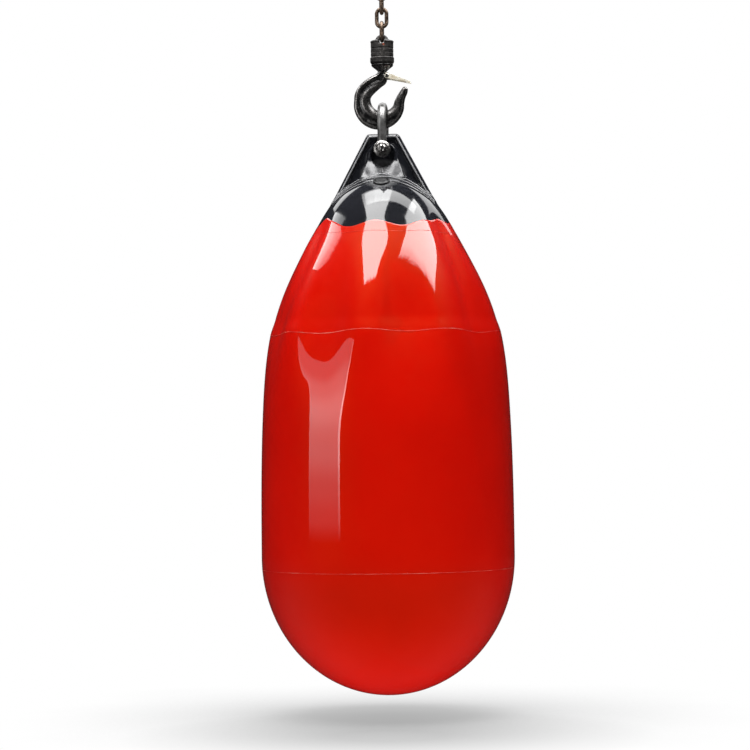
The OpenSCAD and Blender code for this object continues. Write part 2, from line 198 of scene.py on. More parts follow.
def weld_line():
    """A thin line along the weld, red with paler pink patches."""
    m = Nodes("seam_weld")
    col = m.ramp(m.noise(13, 5, 0.65), [(0.44, (0.66, 0.006, 0.0005)), (0.52, (0.72, 0.06, 0.04)),
                                        (0.62, (0.80, 0.20, 0.15))])
    m.set(Base_Color=col, Roughness=m.remap(m.noise(300, 3), 0.3, 0.45), Specular_IOR_Level=0.2,
          Normal=m.bump(m.noise(500, 3), 0.1, 0.0003))
    return m.mat


MAT = {
    "red": vinyl(),
    # head_black: black plastic with a painted sheen zone on the ear's foot
    "black": gloss_black("head_black", face=0.942 - DROP),
    # painted highlight: light grey for the head's black rim beads
    "sheen": metal("head_bead_painted_highlight", (0.26, 0.26, 0.27), (0.34, 0.34, 0.35), (0.42, 0.42, 0.43), (0.15, 0.26),
                   60, 0.05, None, 0.0),
    "valve": gloss_black("valve_black", (0.004, 0.004, 0.0045), (0.35, 0.5)),
    "seam": weld_line(),
    "chain": metal("chain_oxide", (0.035, 0.022, 0.015), (0.12, 0.076, 0.050), (0.36, 0.26, 0.20),
                   (0.28, 0.58), 150, 0.45, (0.54, 0.43, 0.34), 0.75),
    "swivel": metal("swivel_oxide", (0.012, 0.011, 0.011), (0.028, 0.026, 0.025), (0.080, 0.073, 0.068),
                    (0.34, 0.58), 120, 0.5, (0.17, 0.15, 0.14), 0.6),
    "bail": metal("bail_steel", (0.16, 0.13, 0.11), (0.34, 0.30, 0.27), (0.62, 0.57, 0.52), (0.22, 0.42),
                  150, 0.3, (0.75, 0.70, 0.64), 0.95),
    "hook": metal("hook_forged", (0.010, 0.010, 0.011), (0.030, 0.030, 0.031), (0.105, 0.100, 0.098),
                  (0.16, 0.36), 80, 0.45, (0.55, 0.52, 0.50), 0.85, 0.5, (0.505, 0.56)),
    "cone": metal("hook_lacquer", (0.006, 0.006, 0.006), (0.011, 0.010, 0.010), (0.028, 0.022, 0.020),
                  (0.10, 0.26), 140, 0.3, None, 0.2, 0.6),
    "latch": metal("latch_zinc", (0.56, 0.42, 0.18), (0.84, 0.78, 0.60), (0.94, 0.93, 0.88), (0.20, 0.34),
                   120, 0.10, (0.95, 0.94, 0.90), 0.10),
    "rivet": metal("rivet_zinc", (0.55, 0.52, 0.46), (0.76, 0.74, 0.70), (0.90, 0.89, 0.86), (0.18, 0.34),
                   200, 0.15),
    "shackle": metal("shackle_steel", (0.10, 0.098, 0.096), (0.18, 0.178, 0.176), (0.31, 0.305, 0.30),
                     (0.22, 0.40), 70, 0.30, (0.50, 0.49, 0.48), 0.5),
    "pin": metal("pin_steel", (0.13, 0.125, 0.12), (0.34, 0.33, 0.32), (0.66, 0.65, 0.64), (0.18, 0.40),
                 160, 0.35, (0.80, 0.79, 0.78)),
    "plate": metal("plate_paint", (0.018, 0.017, 0.016), (0.028, 0.027, 0.026), (0.046, 0.044, 0.042),
                   (0.36, 0.52), 60, 0.2, (0.20, 0.19, 0.18), 0.0, 0.2),
    "eye": metal("eye_steel", (0.08, 0.06, 0.05), (0.17, 0.14, 0.12), (0.33, 0.29, 0.26), (0.30, 0.52), 130,
                 0.4, (0.46, 0.42, 0.38), 0.9),
    "weld": metal("weld_bead", (0.06, 0.05, 0.05), (0.15, 0.14, 0.14), (0.30, 0.28, 0.27), (0.30, 0.55),
                  300, 0.6),
    "rust": metal("screw_rust", (0.16, 0.035, 0.012), (0.32, 0.07, 0.03), (0.45, 0.13, 0.06), (0.5, 0.75),
                  300, 0.5, None, 0.4),
    "bearing": metal("bearing_steel", (0.50, 0.50, 0.52), (0.66, 0.66, 0.68), (0.80, 0.80, 0.82),
                     (0.10, 0.22), 90, 0.08),
    "nut": metal("nut_zinc", (0.34, 0.34, 0.36), (0.48, 0.48, 0.50), (0.62, 0.62, 0.62), (0.25, 0.42), 110,
                 0.2),
    "spring": metal("spring_wire", (0.40, 0.40, 0.42), (0.58, 0.58, 0.60), (0.75, 0.75, 0.76), (0.18, 0.32),
                    250, 0.15),
    "seal": metal("seal_rubber", (0.010, 0.010, 0.010), (0.018, 0.018, 0.018), (0.032, 0.032, 0.032),
                  (0.6, 0.8), 220, 0.3, None, 0.0),
}


def water_mat():
    m = Nodes("water_clear")
    col = m.ramp(m.noise(9, 3), [(0.3, (0.50, 0.68, 0.80)), (0.7, (0.62, 0.79, 0.88))])
    m.set(Base_Color=col, Roughness=m.remap(m.noise(40, 3), 0.03, 0.08), Transmission_Weight=0.8, IOR=1.33,
          Normal=m.bump(m.noise(18, 2), 0.08, 0.002))
    return m.mat


MAT["water"] = water_mat()

# ---------------------------------------------------------------- mesh tools
# Everything is drawn in millimetres above the bag's lowest point, and place() moves it into the part's frame.


def place(name, verts, faces, mat, body, nodes=(), slot=None, flat=False):
    v = np.array(verts, float) / 1000.0
    v[:, 2] -= DROP
    me = bpy.data.meshes.new(name)
    me.from_pydata(v.tolist(), [], [tuple(int(i) for i in f) for f in faces])
    bm = bmesh.new()
    bm.from_mesh(me)
    bmesh.ops.remove_doubles(bm, verts=bm.verts, dist=2e-7)
    bmesh.ops.recalc_face_normals(bm, faces=bm.faces)
    bm.to_mesh(me)
    bm.free()
    me.polygons.foreach_set("use_smooth", [True] * len(me.polygons))
    me.materials.append(MAT[mat])
    ob = bpy.data.objects.new(name, me)
    bpy.context.collection.objects.link(ob)
    if flat:
        ob.modifiers.new("weighted", "WEIGHTED_NORMAL").keep_sharp = True
    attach(ob, body)
    if nodes:
        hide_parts(*nodes)
    return ob


def join(*parts):
    verts, faces = [], []
    for v, f in parts:
        n = sum(len(a) for a in verts)
        verts.append(np.asarray(v, float))
        faces += [tuple(i + n for i in q) for q in f]
    return np.vstack(verts), faces


def rounded(points, seg=5):
    """A closed outline of (x, y, corner radius), its corners turned into arcs."""
    out, n = [], len(points)
    for i, (x, y, r) in enumerate(points):
        p = np.array([x, y], float)
        if r <= 0:
            out.append(p)
            continue
        a = np.array(points[i - 1][:2], float) - p
        b = np.array(points[(i + 1) % n][:2], float) - p
        la, lb = np.linalg.norm(a), np.linalg.norm(b)
        a, b = a / la, b / lb
        half = math.acos(max(-1, min(1, float(a @ b)))) / 2
        cut = min(r / math.tan(half), la * 0.49, lb * 0.49)
        r = cut * math.tan(half)
        c = p + (a + b) / np.linalg.norm(a + b) * (r / math.sin(half))
        s, e = p + a * cut - c, p + b * cut - c
        t0 = math.atan2(s[1], s[0])
        d = (math.atan2(e[1], e[0]) - t0 + math.pi) % (2 * math.pi) - math.pi
        out += [c + r * np.array([math.cos(t0 + d * k / seg),
                                  math.sin(t0 + d * k / seg)]) for k in range(seg + 1)]
    return np.array(out)


def grid_faces(rows, cols, wrap_rows=False, wrap_cols=True):
    f = []
    for i in range(rows if wrap_rows else rows - 1):
        for j in range(cols if wrap_cols else cols - 1):
            a, b = i * cols + j, i * cols + (j + 1) % cols
            k = ((i + 1) % rows) * cols
            f.append((a, b, k + (j + 1) % cols, k + j))
    return f


def lathe(outline, n=96, closed=True):
    """Turns an outline of (radius, height) about the vertical axis."""
    o = np.asarray(outline, float)
    t = np.arange(n) * 2 * math.pi / n
    v = np.stack([o[:, :1] * np.cos(t), o[:, :1] * np.sin(t), np.repeat(o[:, 1:2], n, 1)], -1).reshape(-1,
                                                                                                       3)
    return v, grid_faces(len(o), n, closed)


def turned(part, matrix):
    v, f = part
    m = np.array(matrix)
    return np.asarray(v) @ m[:3, :3].T + m[:3, 3], f


def sweep(path, radius, n=24, closed=False):
    """A tube along a path; radius is a number or one per point."""
    p = np.asarray(path, float)
    k = len(p)
    r = np.broadcast_to(np.asarray(radius, float), (k,))
    if closed:
        t = np.roll(p, -1, 0) - np.roll(p, 1, 0)
    else:
        t = np.gradient(p, axis=0)
    t /= np.linalg.norm(t, axis=1)[:, None]
    ref = np.array([0.0, 0, 1]) if abs(t[0][2]) < 0.9 else np.array([1.0, 0, 0])
    u = np.cross(t[0], ref)
    u /= np.linalg.norm(u)
    verts = []
    for i in range(k):
        u = u - t[i] * (u @ t[i])
        u /= np.linalg.norm(u)
        w = np.cross(t[i], u)
        a = np.arange(n) * 2 * math.pi / n
        verts.append(p[i] + r[i] * (np.cos(a)[:, None] * u + np.sin(a)[:, None] * w))
    f = grid_faces(k, n, closed)
    v = np.vstack(verts)
    if not closed:
        for base in (0, (k - 1) * n):
            f.append(tuple(range(base, base + n)))
    return v, f


def slabbed(outline, y0, y1, edge=0.6, seg=3):
    """An outline of (x, height) given thickness along Y, its edges rounded; no holes."""
    o = np.asarray(outline, float)
    a = np.roll(o, -1, 0) - o
    b = o - np.roll(o, 1, 0)
    n1 = np.stack([a[:, 1], -a[:, 0]], 1) / (np.linalg.norm(a, axis=1)[:, None] + 1e-9)
    n2 = np.stack([b[:, 1], -b[:, 0]], 1) / (np.linalg.norm(b, axis=1)[:, None] + 1e-9)
    nn = n1 + n2
    nn /= np.maximum((nn ** 2).sum(1) / 2, 0.3)[:, None]
    area = 0.5 * np.sum(o[:, 0] * np.roll(o[:, 1], -1) - np.roll(o[:, 0], -1) * o[:, 1])
    out = nn if area > 0 else -nn
    rows = []
    for k in range(seg + 1):
        g = math.pi / 2 * k / seg
        rows.append((edge * (1 - math.sin(g)), y0 + edge * (1 - math.cos(g))))
    rows += [(i, y0 + y1 - y) for i, y in rows[::-1]]
    verts = [np.column_stack([o[:, 0] - out[:, 0] * i, np.full(len(o), y), o[:, 1] - out[:, 1] * i])
             for i, y in rows]
    n = len(o)
    f = grid_faces(len(rows), n)
    f += [tuple(range(n)), tuple(range((len(rows) - 1) * n, len(rows) * n))]
    return np.vstack(verts), f


def bez(p, t):
    p = np.array(p, float)
    t = np.asarray(t, float)[:, None]
    return (1 - t) ** 3 * p[0] + 3 * (1 - t) ** 2 * t * p[1] + 3 * (1 - t) * t * t * p[2] + t ** 3 * p[3]


# ---------------------------------------------------------------- the bag's surface

SHOULDER_R, SHELL_H, BELLY = 118.2, 856.0, 229.0
_up = bez([(BELLY, 250), (BELLY, 697), (SHOULDER_R + 87.4, SHELL_H - 159.6), (SHOULDER_R, SHELL_H)],
          np.linspace(0, 1, 160))
_low = np.array([(BELLY * math.sin(a), 250 * (1 - math.cos(a))) for a in np.linspace(0, math.pi / 2, 90)])
_dome = bez([(SHOULDER_R, SHELL_H), (97, 895), (52, 940), (0, 940)], np.linspace(0, 1, 60))
SHELL = np.vstack([_low, _up[1:]])
FULL = np.vstack([SHELL, _dome[1:]])


def front(x, y):
    """Angle round the bag from the front, -Y, towards +X, in radians."""
    return np.arctan2(x, -y)


def lobes(phi, at):
    return np.cos(8 * (phi - math.radians(at)))


def gauss(x, w):
    return np.exp(-(x / w) ** 2)


def smooth(t):
    t = clamp(t)
    return t * t * (3 - 2 * t)


def dent(phi, h):
    """How far the skin stands off the plain turned form: puckers at the welds, folds below the ear."""
    a = np.degrees((phi + math.pi) % (2 * math.pi) - math.pi)
    fold = 0.0
    for at, size in ((-123, 1), (-57, 1), (57, 1.4), (123, 1.4)):
        fold = fold + size * (gauss(a - at, 7.5) * 4.2 - gauss(a - at - math.copysign(13, at), 9) * 1.4)
    fade = smooth((h - 660) / 120) * smooth((880 - h) / 70)
    below = h < 655
    rise = clamp(1 - (655 - h) / 190)
    deep = np.where(below, rise ** 2, 1 - smooth((h - 665) / 159))
    wide = 13.35 * np.where(below, 0.86 + 0.14 * rise, 1.0)
    pit = 0.0
    for k in range(8):
        off = (a + 29.1 - 45.5 * k + 180) % 360 - 180
        pit = pit + np.exp(-np.abs(off / wide) ** 2.9)
    side = 0.22 + 0.78 * np.abs(np.cos(phi)) ** 0.8
    oval = 2.0 * np.where(below, smooth(1 - (655 - h) / 174), smooth((800 - h) / 145)) * np.cos(2 * phi)
    lip = 2.6 * smooth((h - 652) / 30) * smooth((850 - h) / 150)
    return -fold * fade - 15.4 * pit * deep * side - oval - lip - 0.8 * gauss(h - 860,
                                                                              26) * (1 + lobes(phi, 17))


def edge_h(phi):
    """Height of the head's wavy lower edge."""
    a = np.degrees((phi + math.pi) % (2 * math.pi) - math.pi)
    rise = 0.0
    for at in (-118, -62, 62, 118):
        rise = rise + 14.0 * gauss(a - at, 10)
    return 847.3 + 5.3 * lobes(phi, -3.1) + rise + 0.6 * np.sin(5 * phi)


def shell_piece():
    n = 480
    phi = np.arange(n) * 2 * math.pi / n
    s = np.linspace(0, 1, 330)
    length = np.concatenate([[0], np.cumsum(np.linalg.norm(np.diff(SHELL, axis=0), axis=1))])
    r0 = np.interp(s * length[-1], length, SHELL[:, 0])
    h0 = np.interp(s * length[-1], length, SHELL[:, 1])
    top = edge_h(phi)
    rows = []
    for r, h in zip(r0, h0):
        k = clamp((h - 700) / (SHELL_H - 700))
        hh = h + (top - SHELL_H) * k * k
        rr = np.full(n, r)
        if h > 700:
            rr = r + (np.interp(hh, FULL[:, 1], FULL[:, 0]) - np.interp(h, FULL[:, 1], FULL[:, 0]))
        rr = rr + dent(phi, hh) * clamp(r / 60)
        rows.append(np.column_stack([rr * np.sin(phi), -rr * np.cos(phi), hh]))
    last = rows[-1]
    for inward, down in ((0.35, -0.15), (0.8, 0.3), (3.0, 0.3)):
        u = last.copy()
        u[:, :2] *= (1 - inward / np.linalg.norm(u[:, :2], axis=1))[:, None]
        u[:, 2] -= down
        rows.append(u)
    return np.vstack(rows), grid_faces(len(rows), n)


place("bag_shell", *shell_piece(), "red", "bag", ("bag_body",), "shell_red")


def on_skin(phi, h, off=0.0):
    r = np.interp(h, FULL[:, 1], FULL[:, 0]) + dent(phi, h) + off
    return np.column_stack([r * np.sin(phi), -r * np.cos(phi), h])


def seam(name, h, wave, radius, at=15.5):
    phi = np.arange(420) * 2 * math.pi / 420
    hh = h - wave * lobes(phi, at) + wave * 0.35 * np.sin(3 * phi + 1)
    r = radius * (1 + 0.25 * np.sin(37 * phi) * np.sin(11 * phi))
    place(name, *sweep(on_skin(phi, hh, -radius * 0.45), r, 8, True), "seam", "bag", (), "shell_red")


seam("weld_upper", 653.5, 2.6, 0.62)
seam("weld_lower", 229.5, 0.0, 0.5)
seam("weld_top", 832.0, 1.0, 0.4)

# ---------------------------------------------------------------- the moulded head


def from_field(field, lo, hi, step):
    """The zero surface of a distance field, as a mesh."""
    ax = [np.arange(a, b + step, step, dtype=np.float32) for a, b in zip(lo, hi)]
    x, y, z = np.meshgrid(*ax, indexing="ij")
    d = np.clip(field(x, y, z), -4 * step, 4 * step).astype(np.float32)
    g = openvdb.FloatGrid(4 * step)
    g.copyFromArray(d)
    pts, quads = g.convertToQuads(0.0)
    return pts * step + np.array(lo), [tuple(q) for q in quads]


def smin(a, b, k):
    h = clamp(0.5 + 0.5 * (b - a) / k)
    return b + (a - b) * h - k * h * (1 - h)


def smax(a, b, k):
    return -smin(-a, -b, k)


def outline_field(px, pz, poly):
    """Signed distance to a closed polygon, negative inside."""
    poly = np.asarray(poly, float)
    d = np.full(px.shape, 1e9)
    inside = np.zeros(px.shape, bool)
    for (ax, az), (bx, bz) in zip(poly, np.roll(poly, -1, 0)):
        ex, ez = bx - ax, bz - az
        t = clamp(((px - ax) * ex + (pz - az) * ez) / (ex * ex + ez * ez + 1e-12))
        d = np.minimum(d, (px - ax - ex * t) ** 2 + (pz - az - ez * t) ** 2)
        inside ^= ((az > pz) != (bz > pz)) & (px < (bx - ax) * (pz - az) / (bz - az + 1e-12) + ax)
    d = np.sqrt(d)
    return np.where(inside, -d, d)


EAR_TOP, EAR_HALF, SLOPE = 1016.0, 28.3, 0.532
VALVE_Y, VALVE_H, VALVE_TILT = -50, 928.3, math.radians(29)
VALVE = Matrix.Translation((0, VALVE_Y, VALVE_H)) @ Matrix.Rotation(VALVE_TILT, 4, "X")


def head_field(x, y, z):
    # dome: look up a distance field of its profile
    rs, hs = np.arange(0, 150, 0.5), np.arange(830, 975, 0.5)
    gr, gh = np.meshgrid(rs, hs, indexing="ij")
    prof = [(0, 700)] + [tuple(p) for p in FULL[FULL[:, 1] > 700]]
    table = outline_field(gr, gh, prof)
    phi = front(x, y)
    r = np.hypot(x, y) - dent(phi, z) * clamp((z - 700) / 10) * clamp((925 - z) / 30) + 0.35
    i, j = np.clip(r / 0.5, 0, len(rs) - 1.001), np.clip((z - 830) / 0.5, 0, len(hs) - 1.001)
    i0, j0 = i.astype(int), j.astype(int)
    fi, fj = i - i0, j - j0
    dome = (table[i0, j0] * (1 - fi) * (1 - fj) + table[i0 + 1, j0] * fi * (1 - fj)
            + table[i0, j0 + 1] * (1 - fi) * fj + table[i0 + 1, j0 + 1] * fi * fj)
    # ear outline as a flat distance field in x and z
    xs, zs = x[:, 0, 0], z[0, 0, :]
    fx, fz = np.meshgrid(np.abs(xs), zs, indexing="ij")
    w = lambda h: EAR_HALF + (EAR_TOP - h) * SLOPE
    out = rounded([(-w(840), 840, 0), (w(840), 840, 0), (w(EAR_TOP), EAR_TOP, 8),
                   (-w(EAR_TOP), EAR_TOP, 8)], 8)
    e2 = outline_field(fx, fz, out)
    hole = np.hypot(fx, fz - HOLE_H) - 21.0
    boss = np.hypot(fx, fz - HOLE_H) - 27.0
    half = [(44, 905), (40, 934), (32, 958), (24, 980)]
    flare = outline_field(fx, fz, [(-44, 905)] + half + [(-a, b) for a, b in half[:0:-1]])
    pocket = smax(e2 + 8.6, -smin(boss, flare, 6), 5)
    bore = np.hypot(fx, fz - PIN_H) - 10.1
    e2, hole, pocket, bore, flare = (a[:, None, :] for a in (e2, hole, pocket, bore, flare))
    ay = np.abs(y)
    t = 12.6
    ear = smax(e2, ay - t, 7.0)
    ear = smax(ear, -smax(pocket, 7.0 - ay, 4.5), 2.4)
    foot = t + 18.0 * clamp((980 - z) / 44) ** 1.6
    ear = smin(ear, smax(flare, ay - foot, 2.5), 2.0)
    knob = np.sqrt(((np.abs(x) - 15.5) / 1.15) ** 2 + ((ay - foot + 2) / 0.42) ** 2 + (z - 949) ** 2) - 13.5
    ear = smin(ear, knob * 0.6, 3.0)
    ring = np.hypot(np.hypot(x, z - HOLE_H) - 23.6, ay - 12.4) - 2.0
    ear = smin(ear, ring, 1.8)
    # three terraces where the ear meets the dome, widest in the middle
    span = np.sqrt(clamp(1 - (x / 99) ** 2))
    body = dome
    for rise, wide in ((2.0, 47), (4.2, 38), (6.6, 29)):
        step = smax(dome - rise * span, ay - 15 - (wide - 15) * span, 2.0)
        body = smin(body, smax(step, np.abs(x) - 95, 1.0), 0.8)
    body = smin(body, ear, 3.0)
    # fill valve's seat
    inv = np.array(VALVE.inverted())
    lx = inv[0, 0] * x + inv[0, 1] * y + inv[0, 2] * z + inv[0, 3]
    ly = inv[1, 0] * x + inv[1, 1] * y + inv[1, 2] * z + inv[1, 3]
    body = smax(body, -(np.hypot(lx, ly) - 14.9), 0.8)
    body = smax(body, -hole, 2.4)
    web = smax(smax(hole - 1.0, ay - 2.0, 0.6), -bore, 0.6)
    body = smin(body, web, 1.0)
    return smax(body, edge_h(phi) - 5.0 - z, 0.5)


v, f = from_field(head_field, (-123, -123, 830), (123, 123, 1020), 1.05)
place("bag_head_moulding", v, f, "black", "bag", ("bag_head",), "head_black")


def dome_h(r):
    return np.interp(-r, -FULL[FULL[:, 1] > 850][:, 0], FULL[FULL[:, 1] > 850][:, 1])


def ridges():
    """Rim lines round both faces of the ear and the arcs where it meets the dome, as thin raised beads."""
    parts = []
    k = math.sqrt(1 + SLOPE ** 2)
    w = lambda h, cut: EAR_HALF + (EAR_TOP - h) * SLOPE - cut * k
    top = EAR_TOP - 5.4
    line = [(-w(h, 5.4), h, 0) for h in np.linspace(889, 1004, 30)]
    line += [(-w(top, 5.4), top, 5), (w(top, 5.4), top, 5)]
    line += [(w(h, 5.4), h, 0) for h in np.linspace(1004, 889, 30)]
    corner = rounded(line, 8)
    for face in (-1, 1):
        path = np.column_stack([corner[:, 0], np.full(len(corner), face * 12.7), corner[:, 1]])
        parts.append(sweep(path, 1.35, 12))
        for rise, wide in ((1.6, 47.5), (3.8, 38.5), (6.2, 29.5)):
            x = 93 * np.sin(np.linspace(-math.pi / 2, math.pi / 2, 90) * 0.985)
            span = np.sqrt(1 - (x / 99) ** 2)
            y = 15 + (wide - 15) * span
            keep = (np.abs(x) > 16) | (wide < 40) | (face > 0)
            for side in (x < -16, x > 16) if not keep.all() else (keep,):
                p = np.column_stack([x, face * y, dome_h(np.hypot(x, y)) + rise * span])[side]
                parts.append(sweep(p, 0.95, 10))
    return join(*parts)


# painted highlight: the beads are raised, but their light grey stands for light along them
place("bag_head_ridges", *ridges(), "sheen", "bag", (), "head_black")

# ---------------------------------------------------------------- fill valve

bush = rounded([(9.56, -14, 0.6), (9.56, -3.6, 0), (12, -3.6, 0.3), (12, 0.8, 0.8), (15, 0.8, 1.4),
                (15, -14, 0.8)])
place("valve_bushing", *turned(lathe(bush, 72), VALVE), "valve", "bag", ("valve_body",), "valve_black",
      True)


def plug_piece():
    head = rounded([(0, 0.8, 0), (10.0, 0.8, 0.8), (11.2, -0.2, 0.5), (11.2, -2.2, 0.3), (9.5, -2.2, 0.2)])
    thread = []
    for k in range(9):
        h = -2.6 - k
        thread += [(9.5, h), (9.5, h - 0.25), (9.0, h - 0.5), (9.0, h - 0.75)]
    return np.vstack([head, thread, [(8.4, -12.0), (0, -12.0)]])


place("valve_plug_screw", *turned(lathe(plug_piece(), 96, False), VALVE), "valve", "plug", ("valve_plug",),
      "valve_black", True)
slot = slabbed(rounded([(-8, 0.3, 0.6), (8, 0.3, 0.6), (8, 1.15, 0.4), (-8, 1.15, 0.4)], 3), -1.3, 1.3, 0.3,
               2)
place("valve_plug_grip", *turned(slot, VALVE), "valve", "plug", (), "valve_black", True)

# ---------------------------------------------------------------- shackle

BOW_R, BOW_C, LEAN = 29.5, 1036.3, math.radians(14)


def bow_piece():
    pts, rad = [], []
    foot_h = 999.0
    leg = (BOW_C - BOW_R * math.sin(LEAN) - foot_h) / math.cos(LEAN)
    for k in np.linspace(1, 0, 14)[:-1]:
        pts.append((0, BOW_R * math.cos(LEAN) - math.sin(LEAN) * leg * k,
                    BOW_C - BOW_R * math.sin(LEAN) - math.cos(LEAN) * leg * k))
        rad.append(8 + 1.2 * clamp(k - 0.45) ** 2 * 2)
    for a in np.linspace(-LEAN, math.pi + LEAN, 60):
        pts.append((0, BOW_R * math.cos(a), BOW_C + BOW_R * math.sin(a)))
        rad.append(7.95)
    n = 13
    pts += [(0, -y, h) for _, y, h in pts[:n][::-1]]
    rad += rad[:n][::-1]
    parts = [sweep(pts, rad, 36)]
    boss = rounded([(9.55, 13.5, 0.8), (14.5, 13.5, 1.6), (14.5, 29.5, 2.6), (9.55, 29.5, 0.8)], 6)
    for s in (0, math.pi):
        m = Matrix.Translation((0, 0, PIN_H)) @ Matrix.Rotation(s, 4, "Z") @ Matrix.Rotation(-math.pi / 2,
                                                                                             4, "X")
        parts.append(turned(lathe(boss, 72), m))
    return join(*parts)


place("shackle_bow_forging", *bow_piece(), "shackle", "shackle", ("shackle_bow",), "shackle_steel", True)


def pin_piece():
    # along local +Z, which points to the front, -Y
    o = rounded([(0, -32.4, 0), (8.0, -32.4, 1.2), (9.5, -30.5, 0.4), (9.5, 29.6, 0), (15.2, 29.6, 0.8),
                 (15.2, 33.6, 2.2),
                 (11.0, 35.4, 1.5), (0, 36.0, 0)], 5)
    m = Matrix.Translation((0, 0, PIN_H)) @ Matrix.Rotation(math.pi / 2, 4, "X")
    return turned(lathe(o, 72, False), m)


place("shackle_pin_turned", *pin_piece(), "pin", "shackle", ("shackle_pin",), "shackle_steel", True)


def thumb_field(x, y, z):
    # flat thumb tab with an eye, standing out of the collar along -Y
    a, b = z - PIN_H, -y - 34
    d2 = smax(smax(np.abs(a) - (8.6 - 0.10 * b), np.abs(b - 5) - 8.2, 5.5), -(np.hypot(a, b - 6.2) - 3.1),
              1.2)
    d = smax(d2, np.abs(x) - 3.0 + 0.05 * b, 2.2)
    return smin(d, smax(np.hypot(x, a) - 9.5 + b * 0.9, np.abs(b) - 4, 1.0), 3.0)


v, f = from_field(thumb_field, (-14, -47.4, PIN_H - 14), (14, -29, PIN_H + 14), 0.45)
place("shackle_pin_thumb", v, f, "pin", "shackle", (), "shackle_steel")

# ---------------------------------------------------------------- hook

BOWL_H, BOWL_R, BACK_R = 1079.5, 22.0, 46.2
RIVET_X, RIVET_H, LUG_R = 9.4, 1121.7, 6.5


def back(a):
    dx, dz = -6.6, -8.9
    k = dx * math.cos(a) + dz * math.sin(a)
    return k + math.sqrt(BACK_R ** 2 - dx * dx - dz * dz + k * k)


def bowl(deg, h):
    a = math.radians(deg)
    far = back(a)
    return [BOWL_R * math.cos(a), BOWL_H + BOWL_R * math.sin(a),
            far * math.cos(a), BOWL_H + far * math.sin(a), h, h * 0.76]


STATIONS = np.array(
    [[39.6, 1101.6, 41.4, 1101.5, 0.6, 0.5],
     [38.0, 1101.1, 43.6, 1100.7, 2.6, 2.2],
     [35.9, 1099.2, 46.2, 1096.8, 4.8, 4.0],
     [31.6, 1093.4, 45.0, 1089.2, 6.2, 5.0],
     [26.6, 1085.6, 41.8, 1081.8, 7.4, 5.6]]
    + [bowl(a, min(10.8, 8.2 + (-10 - a) * 0.052)) for a in range(-10, -181, -17)]
    + [[-20.8, 1083.6, -50.6, 1090.0, 10.4, 8.0],
       [-17.0, 1088.4, -44.6, 1102.2, 9.6, 7.8],
       [-10.0, 1095.0, -34.6, 1112.6, 8.6, 7.4],
       [-1.8, 1101.8, -22.4, 1120.6, 7.3, 7.2],
       [5.6, 1107.6, -12.6, 1125.0, 5.7, 7.0],
       [8.6, 1115.0, -8.6, 1128.6, 5.3, 6.8],
       [7.3, 1127.5, -7.3, 1131.5, 4.6, 7.1]])


def through(table, s):
    i = min(int(s), len(table) - 2)
    t = s - i
    a, b, c, d = table[max(i - 1, 0)], table[i], table[i + 1], table[min(i + 2, len(table) - 1)]
    square, cube = 2 * a - 5 * b + 4 * c - d, 3 * b - a - 3 * c + d
    return 0.5 * (2 * b + (c - a) * t + square * t * t + cube * t ** 3)


def hook_ring(s, n=26):
    """One section: a round bead along the inside, a shallow groove, then a flatter flange."""
    p, q = np.array([s[0], s[1]]), np.array([s[2], s[3]])
    d = np.linalg.norm(q - p)
    e = (q - p) / d
    u = 1 - np.cos(np.linspace(0, math.pi, n))          # 0 to 2, dense at both edges
    u = u / 2 * d
    hi, ho = s[4], s[5]
    r = min(hi * 1.05, d * 0.42)
    bead = hi * np.sqrt(clamp(1 - ((u - r) / r) ** 2)) * (u < 2 * r)
    flange = ho * clamp((d - u) / 3.6) ** 0.5 * clamp((u - 0.2 * r) / (0.8 * r))
    groove = 1.1 * gauss(u - min(2.05 * r, d * 0.62), 1.9) * clamp((d - 22) / 6)
    h = np.where(u <= r, bead, np.maximum(bead, flange)) - groove
    h = np.maximum(h, 0.02)
    h[0] = h[-1] = 0
    side = [np.array([p[0] + e[0] * a, b, p[1] + e[1] * a]) for a, b in zip(u, h)]
    return side + [v * np.array([1, -1, 1]) for v in side[-2:0:-1]]


def hook_piece():
    rings = [hook_ring(through(STATIONS, s)) for s in np.linspace(0, len(STATIONS) - 1, 190)]
    n = len(rings[0])
    faces = grid_faces(len(rings), n)
    faces += [tuple(range(n)), tuple(range((len(rings) - 1) * n, len(rings) * n))]
    arc = np.linspace(-2.2, 1.9, 24)
    lug = [(RIVET_X + LUG_R * math.cos(a), RIVET_H + LUG_R * math.sin(a), 0) for a in arc]
    lug = rounded(lug + [(1, 1127, 0), (1, 1112, 0)])
    return join((np.vstack(rings), faces), slabbed(lug, -5.4, 5.4, 0.9, 3))


place("hook_forging", *hook_piece(), "hook", "hook", ("hook",), "hook_steel")
cone = rounded([(0, 1126, 0), (7.4, 1126, 0), (7.6, 1129.6, 3), (11.4, 1133.4, 2.5), (18.9, 1139.4, 2.4),
                (20.4, 1142.9, 0.8),
                (7.5, 1142.9, 0.2), (7.5, 1170, 0.8), (0, 1170, 0)], 6)
place("hook_cone", *lathe(cone, 96, False), "cone", "hook", (), "hook_steel", True)

# latch: two cheeks joined by a web, hinged on a rivet
DROOP = math.radians(17)
RIVET = Matrix.Translation((RIVET_X, 0, RIVET_H))
LATCH = RIVET @ Matrix.Rotation(DROOP, 4, "Y")


def latch_piece():
    arc = [(5 * math.cos(a), 5 * math.sin(a), 0) for a in np.linspace(math.radians(86), math.radians(274),
                                                                      22)]
    cheek = rounded(arc + [(30, -2.0, 6), (43, -1.2, 0.6), (44, -0.6, 0.4), (44, 0.8, 0.4), (43, 1.3, 0.6),
                           (30, 2.4, 6)], 3)[::-1]
    web = rounded([(8.8, 2.9, 0.3), (33.6, 1.1, 0.3), (33.6, 2.6, 0.6), (8.8, 4.5, 0.6)], 3)
    parts = [slabbed(cheek, s * 12.05 - 0.75, s * 12.05 + 0.75, 0.35, 2) for s in (-1, 1)]
    parts.append(slabbed(web, -12.7, 12.7, 0.4, 2))
    return turned(join(*parts), LATCH)


